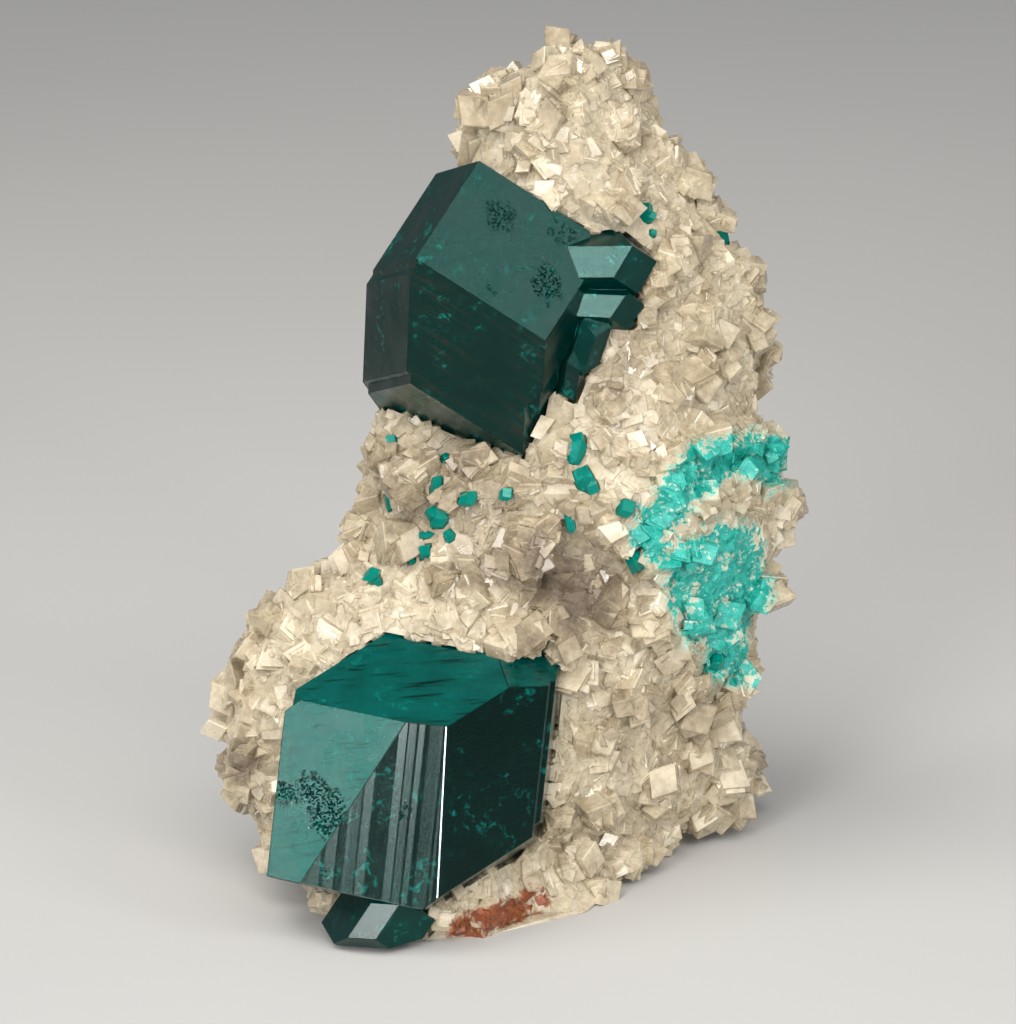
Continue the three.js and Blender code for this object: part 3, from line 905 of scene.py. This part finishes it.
# %% Growth lines
def growth_lines(shape, normal, along, widths, tilt, seed, reach=None):
    """Rules the faces that look along the normal with strips of widths in millimetres, tilted in degrees."""
    random = np.random.default_rng(seed)
    across = normal.cross(along).normalized()
    group = faces_along(shape, normal)
    places = [v.co.dot(across) / MM for f in group for v in f.verts]
    low, high = reach or (min(places), max(places))
    ends = [low]
    while ends[-1] < high:
        ends.append(ends[-1] + widths[0] + (widths[1] - widths[0]) * random.random() ** 2)
    for end in ends[1:-1]:
        group = faces_along(shape, normal)
        parts = {g for f in group for g in (*f.verts, *f.edges, f)}
        bmesh.ops.bisect_plane(shape, geom=list(parts), plane_co=across * end * MM, plane_no=across)
    slopes = np.tan(np.radians(tilt * random.uniform(-1, 1, len(ends) - 1)))
    heights = np.concatenate([[0], np.cumsum(slopes * np.diff(ends))])
    heights -= np.linspace(0, heights[-1], len(heights))
    depths = heights.max() - heights
    depths[[0, -1]] = 0
    for vert in {v for f in faces_along(shape, normal) for v in f.verts}:
        vert.co -= normal * float(np.interp(vert.co.dot(across) / MM, ends, depths)) * MM
    print("  growth lines:", len(ends), "deepest", round(depths.max(), 2), "mm")


# %% [markdown]
# ## Etch pits
# Acid water has eaten patches of small pits into the front faces. The faces of a patch are first divided
# finely, most finely at its middle, and then the vertices where a noise is high sink in.

# %% Etch pits
PIT_MESH = (1.2, 0.6, 0.3, 0.15, 0.09)


def divide_patch(shape, normal, centre, radius):
    """Divides the faces that look along the normal until their edges near the centre are short."""
    for longest in PIT_MESH:
        for _ in range(4):
            group = [f for f in shape.faces if f.normal.dot(normal) > 0.999]
            wide = [f for f in group if len(f.verts) > 3]
            bmesh.ops.triangulate(shape, faces=wide, quad_method="SHORT_EDGE", ngon_method="BEAUTY")
            group = [f for f in shape.faces if f.normal.dot(normal) > 0.999]
            flat = set(group)
            inner = {e for f in group for e in f.edges if flat.issuperset(e.link_faces)}
            long = [e for e in inner if near_patch(e, centre, radius, longest)]
            if not long:
                break
            bmesh.ops.subdivide_edges(shape, edges=long, cuts=1)


def near_patch(edge, centre, radius, longest):
    """Whether an edge is too long for its place: the limit is looser away from the patch."""
    start, end = (v.co for v in edge.verts)
    run = end - start
    along = max(0, min(1, (centre - start).dot(run) / run.length_squared))
    away = max(0, (start + run * along - centre).length / MM - radius)
    return run.length > (longest + 0.8 * away) * MM


def etch_patch(shape, faces, name, place, radius, depth, grain, threshold=0.1):
    """Pits the named face round a place given by its x and y on the display face."""
    normal = outward(faces, name)
    centre = point_on(shape, normal, place)
    divide_patch(shape, normal, centre, radius)
    sunk = 0
    for vert in shape.verts:
        away = (vert.co - centre).length / MM / radius
        if away > 1.3 or any(f.normal.dot(normal) < 0.99 for f in vert.link_faces):
            continue
        spot = vert.co / MM
        cover = max(0, min(1, 2 * (1 - away) + noise.noise(spot / radius * 2)))
        pit = noise.noise(spot / grain) + 0.5 * noise.noise(spot / grain * 2.3)
        sink = max(0, min(1, 4 * (pit - threshold))) * cover
        vert.co -= normal * sink * depth * MM
        sunk += sink > 0
    print("  etch patch:", sunk, "vertices sunk,", len(shape.faces), "faces")


# %% [markdown]
# ## The large dioptase crystals
# Now the steps come together: bend, bevels, growth lines, then pits. The values that tell the material
# about each face are found from the way it looks.

# %% Large crystals
STREAKS_ACROSS = FACE.to_3x3() @ Vector((1, -0.07, 0.054))
UPPER_PITS = [
    ((3.1, 45.4), 1.4, 0.15, 0.18),
    ((-0.4, 50.4), 1.3, 0.1, 0.2),
    ((4.6, 49.3), 1.3, 0.08, 0.3),
    ((-1.2, 44.6), 0.7, 0.08, 0.2),
]
LOWER_PITS = [
    ((-12.8, 5.0), 1.9, 0.2, 0.2),
    ((-14.6, 7.2), 1.4, 0.1, 0.2),
    ((-16.6, 7.0), 1.0, 0.1, 0.18),
]
VICINAL_PITS = [
    ((-7.9, 8.7), 0.6, 0.15, 0.2),
    ((-9.6, 6.0), 1.0, 0.2, 0.22),
    ((-7.8, 5.6), 0.8, 0.2, 0.25),
    ((-13.0, 1.0), 0.7, 0.2, 0.2),
]


def with_looks(piece, faces, bend=None):
    """Stores each face's looks, those of the named face that looks the same way."""
    normals = np.array([FACE_TURN.T @ p.normal for p in piece.data.polygons])
    ways = np.array([direction for direction, *_ in faces.values()])
    alike = normals @ ways.T
    which = alike.argmax(axis=1)
    if bend:
        names = list(faces)
        (x, y), (end_x, end_y) = bend
        centres = face_millimetres(np.array([p.center[:] for p in piece.data.polygons]))
        beyond = (centres[:, 0] - x) * (end_y - y) - (centres[:, 1] - y) * (end_x - x) < 0
        which[beyond & (which == names.index("front_end"))] = names.index("front_vicinal")
    looks = np.array([look for _, *look in faces.values()])[which]
    looks[alike.max(axis=1) < 0.94] = OTHER_FACES
    set_values(piece.data, "FACE", veil=looks[:, 0], satin=looks[:, 1], brown=looks[:, 2], sheen=looks[:, 3])
    print(piece.name, len(piece.data.polygons), "faces")


def upper_crystal():
    faces = UPPER_FACES
    shape = bevelled(merged_copy("upper_dioptase"), BEVEL_WIDTH)
    front, side = outward(faces, "front_end"), outward(faces, "front_side")
    growth_lines(shape, side, edge_between(faces, "front_end", "front_side"), (0.1, 0.7), 2.5, 3)
    growth_lines(
        shape, outward(faces, "lower_end"), edge_between(faces, "front_side", "lower_end"), (0.08, 0.6), 4, 4
    )
    growth_lines(
        shape, outward(faces, "right_side"), edge_between(faces, "front_end", "right_side"), (0.15, 1.1), 3, 5
    )
    for place, radius, depth, grain in UPPER_PITS:
        etch_patch(shape, faces, "front_end", place, radius, depth, grain)
    piece = finished("upper_crystal", shape, large_dioptase, "upper_dioptase")
    with_looks(piece, faces)


def lower_crystal():
    faces = LOWER_FACES
    shape = merged_copy("lower_dioptase")
    bend_front(shape, faces)
    drop_corner(shape, faces)
    bright_edge(shape, faces, "front_vicinal", "right_side", BRIGHT_EDGE_WIDTH)
    bevelled(shape, BEVEL_WIDTH)
    along = edge_between(faces, "front_end", "right_side")
    growth_lines(shape, outward(faces, "front_vicinal"), along, (0.12, 0.8), 5, 6)
    growth_lines(shape, outward(faces, "upper_side"), STREAKS_ACROSS.normalized(), (0.2, 1.5), 3, 7)
    for place, radius, depth, grain in LOWER_PITS:
        etch_patch(shape, faces, "front_end", place, radius, depth, grain)
    for place, radius, depth, grain in VICINAL_PITS:
        etch_patch(shape, faces, "front_vicinal", place, radius, depth, grain)
    piece = finished("lower_crystal", shape, large_dioptase, "lower_dioptase")
    with_looks(piece, faces, bend=(BEND_START, BEND_END))


upper_crystal()
lower_crystal()

# %% [markdown]
# ## The small dioptase crystals
# They are a millimetre or two long, so thin that light passes right through them, and they look a much
# brighter green than the large ones.

# %% Small crystals
SMALL_BEVEL = 0.02 * MM
for node in dioptase_nodes:
    if node.startswith("small_dioptase_"):
        shape = bevelled(merged_copy(node), SMALL_BEVEL)
        piece = finished("small_crystal_" + node[-2:], shape, small_dioptase, node)
        count = len(piece.data.polygons)
        set_values(piece.data, "FACE", veil=np.full(count, 0.5), satin=np.full(count, 0.08))
